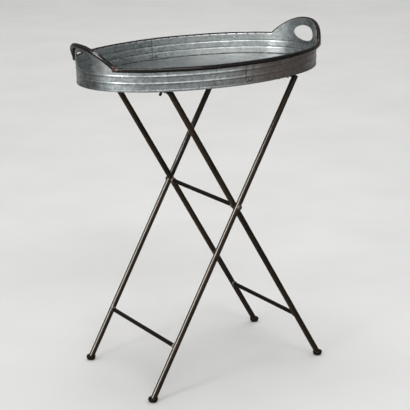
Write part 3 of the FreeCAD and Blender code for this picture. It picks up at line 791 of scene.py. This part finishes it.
def tack(s_or_phi, on_handle, sg=1):
    if on_handle:
        x, y, z = handle_point(s_or_phi, 0.35, WALL_TOP - RIM_Z - 0.3)
        x2, y2, z2 = handle_point(s_or_phi + 1.0, 0.35, WALL_TOP - RIM_Z - 0.3)
        a = math.radians(phi_of_arc(s_or_phi))
        c, t, nrm = (sg * x, sg * y, z), (sg * (x2 - x), sg * (y2 - y), z2 - z), (sg * math.cos(a), sg * math.sin(a), 0)
    else:
        a = math.radians(s_or_phi)
        c = oval(s_or_phi, lean_off(WALL_TOP) + 0.35, WALL_TOP - 0.3)
        t, nrm = (-math.sin(a), math.cos(a), 0), (math.cos(a), math.sin(a), 0)
    up = np.cross(np.array(nrm, float), np.array(t, float))
    if up[2] < 0:
        up = -up
    k = rng.uniform(0.8, 1.2)
    P.add(lump, c, (t, nrm, up), (2.7 * k, 2.0, 1.3 * rng.uniform(0.8, 1.2)), rng, 0.16, 14, 9)


for p0, p1 in ((PHI_HI, 180 + PHI_LO), (180 + PHI_HI, 360 + PHI_LO)):
    s = 14.0
    arc = [p0]
    step = 0.25
    dist, p, last = 0.0, p0, oval(p0, RIM_OFF, 0)
    nxt = 14.0
    while p < p1 - 2.0:
        p += step
        q = oval(p, RIM_OFF, 0)
        dist += math.dist(q, last)
        last = q
        if dist >= nxt:
            tack(p, False)
            nxt += 22.0 + rng.uniform(-4.0, 4.0)
for sg in (1, -1):
    s = H_LO + 12
    while s < H_HI - 8:
        tack(s, True, sg)
        s += 24.0 + rng.uniform(-4, 4)
make("rim_tack_welds", P.v, P.f, M_WELD, "tray", (), 60, {"grime_and_shade": [0.5] * len(P.v)})


# ----------------------------------------------------------------------- stand
def sampled(p, q, n):
    p, q = np.array(p, float), np.array(q, float)
    return [tuple(p + (q - p) * i / n) for i in range(n + 1)]


def leg(prefix, side, y, where):
    z0, z1 = 5.5, 667.0
    n = 160
    path = sampled((side * leg_x(z0), y, z0), (side * leg_x(z1), y, z1), n)
    ph = rng.uniform(0, 6)
    v, f = tube(path, lambda i: LEG_R + 0.05 * math.sin(i * 0.33 + ph) + 0.04 * math.sin(i * 0.11 + 2 * ph), 36)
    zz = np.array([p[2] for p in v])
    g = np.exp(-((zz - STRETCHER_Z) / 14.0) ** 2) * 0.7 + np.exp(-((zz - PIVOT_Z) / 12.0) ** 2) * 0.6 + np.exp(-(zz / 18.0) ** 2) * 0.5
    RODS.append(make("%s_leg_%s_rod" % (prefix, where), v, f, M_STAND, prefix + "_frame", ("%s_leg_%s" % (prefix, where),), 40, {"grime_and_shade": g}))


def bar(name, x, z, y, prefix, node):
    n = 90
    y_end = y - LEG_R + 2.6
    path = sampled((x, -y_end, z), (x, y_end, z), n)
    ph = rng.uniform(0, 6)
    v, f = tube(path, lambda i: BAR_R + 0.04 * math.sin(i * 0.41 + ph) + 0.03 * math.sin(i * 0.13 + 2 * ph), 32)
    yy = np.abs(np.array([p[1] for p in v]))
    make(name, v, f, M_STAND, prefix + "_frame", (node,), 40, {"grime_and_shade": np.exp(-((yy - y_end) / 9.0) ** 2) * 0.8})


def weld_ring(x, z, y_leg, inward, r, v0=0):
    """Uneven bead of weld round the end of a bar."""
    n_u, n_v = 44, 12
    y = y_leg + inward * (LEG_R - 0.5)
    ph = [rng.uniform(0, 6.28) for _ in range(3)]
    verts, faces = [], []
    for i in range(n_u):
        a = 2 * math.pi * i / n_u
        m = 1.75 * (1 + 0.16 * math.sin(7 * a + ph[0]) + 0.12 * math.sin(3 * a + ph[1]) + 0.08 * math.sin(13 * a + ph[2]))
        for j in range(n_v):
            b = 2 * math.pi * j / n_v
            rr = r + 0.1 + m * math.cos(b)
            verts.append((x + rr * math.cos(a), y + m * 1.15 * math.sin(b), z + rr * math.sin(a)))
    for i in range(n_u):
        for j in range(n_v):
            i2, j2 = (i + 1) % n_u, (j + 1) % n_v
            faces.append((v0 + i * n_v + j, v0 + i * n_v + j2, v0 + i2 * n_v + j2, v0 + i2 * n_v + j))
    return verts, faces


def foot(prefix, side, y, where):
    r, h = 10.75, 10.6
    prof = [(0.0, 0.0), (6.7, 0.0), (7.2, 0.12), (7.9, 0.6), (8.75, 1.5), (9.5, 2.7), (10.05, 4.1), (10.5, 5.7), (r - 0.03, 7.2), (r - 0.08, 8.1), (r - 0.38, 9.1), (r - 0.95, 9.85), (r - 1.7, 10.35), (r - 2.5, h), (5.0, h + 0.05), (0.0, h + 0.05)]
    c = (side * leg_x(h * 0.55), y, 0.0)
    v, f = lathe(prof, c, (0, 0, 1), 48)
    ph = rng.uniform(0, 6)
    w = []
    for (vx, vy, vz) in v:
        a = math.atan2(vy - c[1], vx - c[0])
        k = 1 + 0.012 * math.sin(2 * a + ph) + 0.008 * math.sin(5 * a - ph)
        w.append((c[0] + (vx - c[0]) * k, c[1] + (vy - c[1]) * k, vz))
    make("%s_foot_%s_cap" % (prefix, where), w, f, M_FOOT, prefix + "_frame", ("%s_foot_%s" % (prefix, where),), 50)


for prefix, side, y in (("inner", -1, INNER_Y), ("outer", 1, OUTER_Y)):
    for where, sy in (("front", -1), ("back", 1)):
        leg(prefix, side, sy * y, where)
        foot(prefix, side, sy * y, where)
    bar(prefix + "_top_bar", side * leg_x(RAIL_Z), RAIL_Z, y, prefix, prefix + "_top_rail")
    bar(prefix + "_low_bar", side * leg_x(STRETCHER_Z), STRETCHER_Z, y, prefix, prefix + "_stretcher")
    P = Parts()
    rings = [(side * leg_x(STRETCHER_Z), STRETCHER_Z)]
    if prefix == "inner":
        bar("pivot_bar", 0.0, PIVOT_Z, y, "inner", "pivot_middle_rod")
        rings.append((0.0, PIVOT_Z))
    for (x, z) in rings:
        for sy in (-1, 1):
            P.add(weld_ring, x, z, sy * y, -sy, BAR_R)
    # small beads under the tray, inside the bar's own height
    for sy in (-1, 1):
        P.add(lump, (side * leg_x(RAIL_Z), sy * (y - LEG_R + 0.2), RAIL_Z - 1.2), ((1, 0, 0), (0, 1, 0), (0, 0, 1)), (5.9, 1.6, 4.6), rng, 0.06)
    RODS.append(make(prefix + "_weld_lumps", P.v, P.f, M_WELD, prefix + "_frame", (prefix + "_weld_beads",), 60))

for where, sy in (("front", -1), ("back", 1)):
    y_head = OUTER_Y + LEG_R + 0.35
    prof = [(0.0, -20.0), (3.0, -20.0), (3.0, 0.0), (5.6, 0.0), (5.95, 0.25), (6.0, 0.8)]
    for k in range(1, 9):
        a = k / 9.0
        prof.append((6.0 * math.cos(a * math.pi / 2) ** 0.8, 0.8 + 3.4 * math.sin(a * math.pi / 2)))
    prof.append((0.0, 4.2))
    v, f = lathe(prof, (0.0, sy * y_head, PIVOT_Z), (0, sy, 0), 40)
    w = []
    for (vx, vy, vz) in v:
        dd = abs(vy) - y_head
        if dd > 0.9:
            k = 0.10 * math.sin(vx * 1.7 + 0.5) * math.cos((vz - PIVOT_Z) * 1.5)
            vy += sy * (k - 0.10)
        w.append((vx, vy, vz))
    RODS.append(make("pivot_rivet_%s_head" % where, w, f, M_PIVOT, "inner_frame", ("pivot_rivet_" + where,), 45))

# ------------------------------------------------------- clips and small rivets
KEEP = {"clip_steel": M_CLIP, "zinc_rivet": M_RIVET}
for n, o in nodes.items():
    slot = [q["material_slot"] for q in frame["record"]["subparts"] if q["node"] == n][0]
    if slot in KEEP:
        o.data.materials.clear()
        o.data.materials.append(KEEP[slot])

# ----------------------------------------------------------------------- stage
def stage_floor():
    """Wide pale floor that curves up into a wall all round."""
    n = 144
    wide, cove, top = 11.0, 3.0, 9.0
    prof = [(wide - cove, 0.0)]
    for j in range(1, 21):
        w = math.pi / 2 * j / 20
        prof.append((wide - cove + cove * math.sin(w), cove - cove * math.cos(w)))
    prof.append((wide, top))
    verts, faces, rings = [(0.0, 0.0, 0.0)], [], []
    for (q, z) in prof:
        ring = []
        for k in range(n):
            t = 2 * math.pi * k / n
            ring.append(len(verts))
            verts.append((q * math.cos(t), q * math.sin(t), z))
        rings.append(ring)
    for k in range(n):
        k2 = (k + 1) % n
        faces.append((0, rings[0][k], rings[0][k2]))
        for A, B in zip(rings, rings[1:]):
            faces.append((A[k], B[k], B[k2], A[k2]))
    me = bpy.data.meshes.new("studio_floor")
    me.from_pydata(verts, [], faces)
    for p in me.polygons:
        p.use_smooth = True
    ob = bpy.data.objects.new("studio_floor", me)
    bpy.context.scene.collection.objects.link(ob)
    m, nt, b = new_mat("pale_floor")
    co = coords(nt)
    n = noise(nt, co, 3.0, 2.0)
    r = ramp(nt, n.outputs["Fac"], [(0.3, (0.66, 0.655, 0.645)), (0.7, (0.70, 0.695, 0.685))])
    L(nt, r.outputs["Color"], b.inputs["Base Color"])
    b.inputs["Roughness"].default_value = 0.75
    me.materials.append(m)
    ob.visible_glossy = False


stage_floor()


def area(name, loc, target, size, radiance, color=(1, 1, 1)):
    li = bpy.data.lights.new(name, "AREA")
    li.shape = "RECTANGLE"
    li.size, li.size_y = size
    li.energy = radiance * math.pi * size[0] * size[1]
    li.color = color
    ob = bpy.data.objects.new(name, li)
    ob.location = loc
    d = Vector(target) - Vector(loc)
    ob.rotation_euler = d.to_track_quat("-Z", "Y").to_euler()
    bpy.context.scene.collection.objects.link(ob)
    return ob


area("soft_left", (-2.6, -0.8, 1.9), (0, 0, 0.42), (0.42, 1.7), 8.0)
rod_set = bpy.data.collections.new("stand_rods")
for ob in RODS:
    rod_set.objects.link(ob)
rim_set = bpy.data.collections.new("rim_rods")
for ob in RIMS:
    rim_set.objects.link(ob)
for nm, loc, tgt, size, power, group in (("soft_side", (-2.3, -0.2, 1.6), (0, 0, 0.3), (1.1, 1.9), 45.0, rod_set),
                                         ("soft_side_rim", (-2.3, -0.2, 1.6), (0, 0, 0.3), (0.8, 1.5), 20.0, rim_set),
                                         ("soft_rim", (-0.66, 0.05, 3.2), (-0.66, 0.05, 0.7), (1.5, 0.24), 34.0, rim_set)):
    area(nm, loc, tgt, size, power).light_linking.receiver_collection = group
area("soft_front", (-0.5, -2.3, 2.7), (0, 0, 0.66), (1.5, 0.45), 13.0)
area("soft_top", (0.2, 0.3, 3.4), (0.0, 0.0, 0.0), (1.9, 1.9), 1.9).visible_glossy = False
area("soft_room", (0.6, 1.0, 5.6), (0.6, 1.0, 0.0), (10.0, 10.0), 0.78).visible_glossy = False
area("far_wash", (2.4, 4.2, 4.6), (2.9, 5.2, 0.0), (6.0, 4.0), 0.85).visible_glossy = False


def studio_world():
    w = bpy.data.worlds.new("studio")
    w.use_nodes = True
    nt = w.node_tree
    bg = nt.nodes["Background"]
    tc = N(nt, "ShaderNodeTexCoord")
    sep = N(nt, "ShaderNodeSeparateXYZ")
    L(nt, tc.outputs["Generated"], sep.inputs[0])
    up = mathn(nt, "ADD", mathn(nt, "MULTIPLY", sep.outputs[2], 0.5), 0.5)
    sky = ramp(nt, up, [(0.50, (0.31, 0.315, 0.32)), (0.66, (0.36, 0.365, 0.37)), (0.80, (0.24, 0.245, 0.25)), (0.93, (0.28, 0.285, 0.29)), (0.975, (0.62, 0.625, 0.63)), (1.0, (0.66, 0.665, 0.67))])
    # low surroundings of the room, by compass direction: pale to the left and behind, dark and warm to the right
    turn = mathn(nt, "ADD", mathn(nt, "MULTIPLY", mathn(nt, "ARCTAN2", sep.outputs[1], sep.outputs[0]), 1.0 / (2.0 * math.pi)), 0.5)

    def by_compass(rows):
        return ramp(nt, turn, [(deg / 360.0 + 0.5, c) for deg, c in rows]).outputs["Color"]

    ground = by_compass(((-180, (0.74, 0.745, 0.75)), (-174, (0.88, 0.885, 0.89)), (-160, (0.80, 0.805, 0.80)), (-148, (0.80, 0.80, 0.80)), (-138, (0.48, 0.48, 0.48)), (-118, (0.28, 0.282, 0.284)), (-98, (0.38, 0.38, 0.378)), (-84, (0.36, 0.36, 0.358)), (-70, (0.27, 0.263, 0.257)),
                         (-56, (0.265, 0.246, 0.232)), (-36, (0.250, 0.226, 0.212)), (-22, (0.180, 0.160, 0.150)), (5, (0.160, 0.147, 0.140)), (35, (0.52, 0.51, 0.50)), (55, (0.38, 0.38, 0.38)), (75, (0.36, 0.36, 0.36)), (95, (0.36, 0.36, 0.36)),
                         (112, (0.16, 0.16, 0.16)), (150, (0.095, 0.095, 0.095)), (160, (0.13, 0.128, 0.125)), (168, (0.34, 0.338, 0.335)), (175, (0.62, 0.622, 0.624)), (180, (0.74, 0.745, 0.75))))
    deep = ramp(nt, up, [(0.0, 0.5), (0.30, 0.8), (0.42, 1.0)])
    g2 = mixc(nt, 1.0, ground, deep.outputs["Color"], "MULTIPLY")
    # walls of the room
    high = by_compass(((-180, 0.82), (-172, 0.92), (-62, 0.92), (-48, 0.32), (-30, 0.13), (40, 0.13), (58, 0.19), (80, 0.22), (100, 0.16), (158, 0.13), (168, 0.34), (175, 0.66), (180, 0.82)))
    wall = ramp(nt, up, [(0.455, 0.0), (0.525, 1.0)])
    g3 = mixc(nt, wall.outputs["Color"], g2, high)
    edge = ramp(nt, up, [(0.66, 0.0), (0.77, 1.0)])
    # pale panel high in front
    panel = mathn(nt, "MULTIPLY", by_compass(((-180, 0.0), (-165, 0.0), (-148, 1.0), (-92, 1.0), (-75, 0.0), (180, 0.0))), ramp(nt, up, [(0.66, 0.0), (0.70, 1.0), (0.92, 1.0), (0.955, 0.0)]).outputs["Color"])
    lid = mixc(nt, panel, sky.outputs["Color"], (0.98, 0.98, 0.97))
    L(nt, mixc(nt, edge.outputs["Color"], g3, lid), bg.inputs["Color"])
    bg.inputs["Strength"].default_value = 1.0
    bpy.context.scene.world = w


studio_world()
bpy.context.scene.view_settings.view_transform = "Standard"

# ---------------------------------------------------------------------- camera
CAM = dict(az=-31.646, el=16.153, dist=3065.3, f_px=1365.73, ox=5.688, tz=368.18, roll=-1.222)


def make_camera():
    az, el, roll = (math.radians(CAM[k]) for k in ("az", "el", "roll"))
    back = Vector((math.sin(az) * math.cos(el), -math.cos(az) * math.cos(el), math.sin(el)))
    right = Vector((math.cos(az), math.sin(az), 0))
    up = right.cross(-back)
    tgt = right * CAM["ox"] + Vector((0, 0, CAM["tz"]))
    loc = (tgt + back * CAM["dist"]) * MM
    r2 = right * math.cos(roll) + up * math.sin(roll)
    u2 = up * math.cos(roll) - right * math.sin(roll)
    cam = bpy.data.cameras.new("camera")
    cam.sensor_fit = "HORIZONTAL"
    cam.sensor_width = 36.0
    cam.lens = 36.0 * CAM["f_px"] / 410.0
    cam.clip_end = 100
    ob = bpy.data.objects.new("camera", cam)
    ob.matrix_world = Matrix(((r2.x, u2.x, back.x, loc.x), (r2.y, u2.y, back.y, loc.y), (r2.z, u2.z, back.z, loc.z), (0, 0, 0, 1)))
    bpy.context.scene.collection.objects.link(ob)
    bpy.context.scene.camera = ob


make_camera()
bpy.context.view_layer.update()
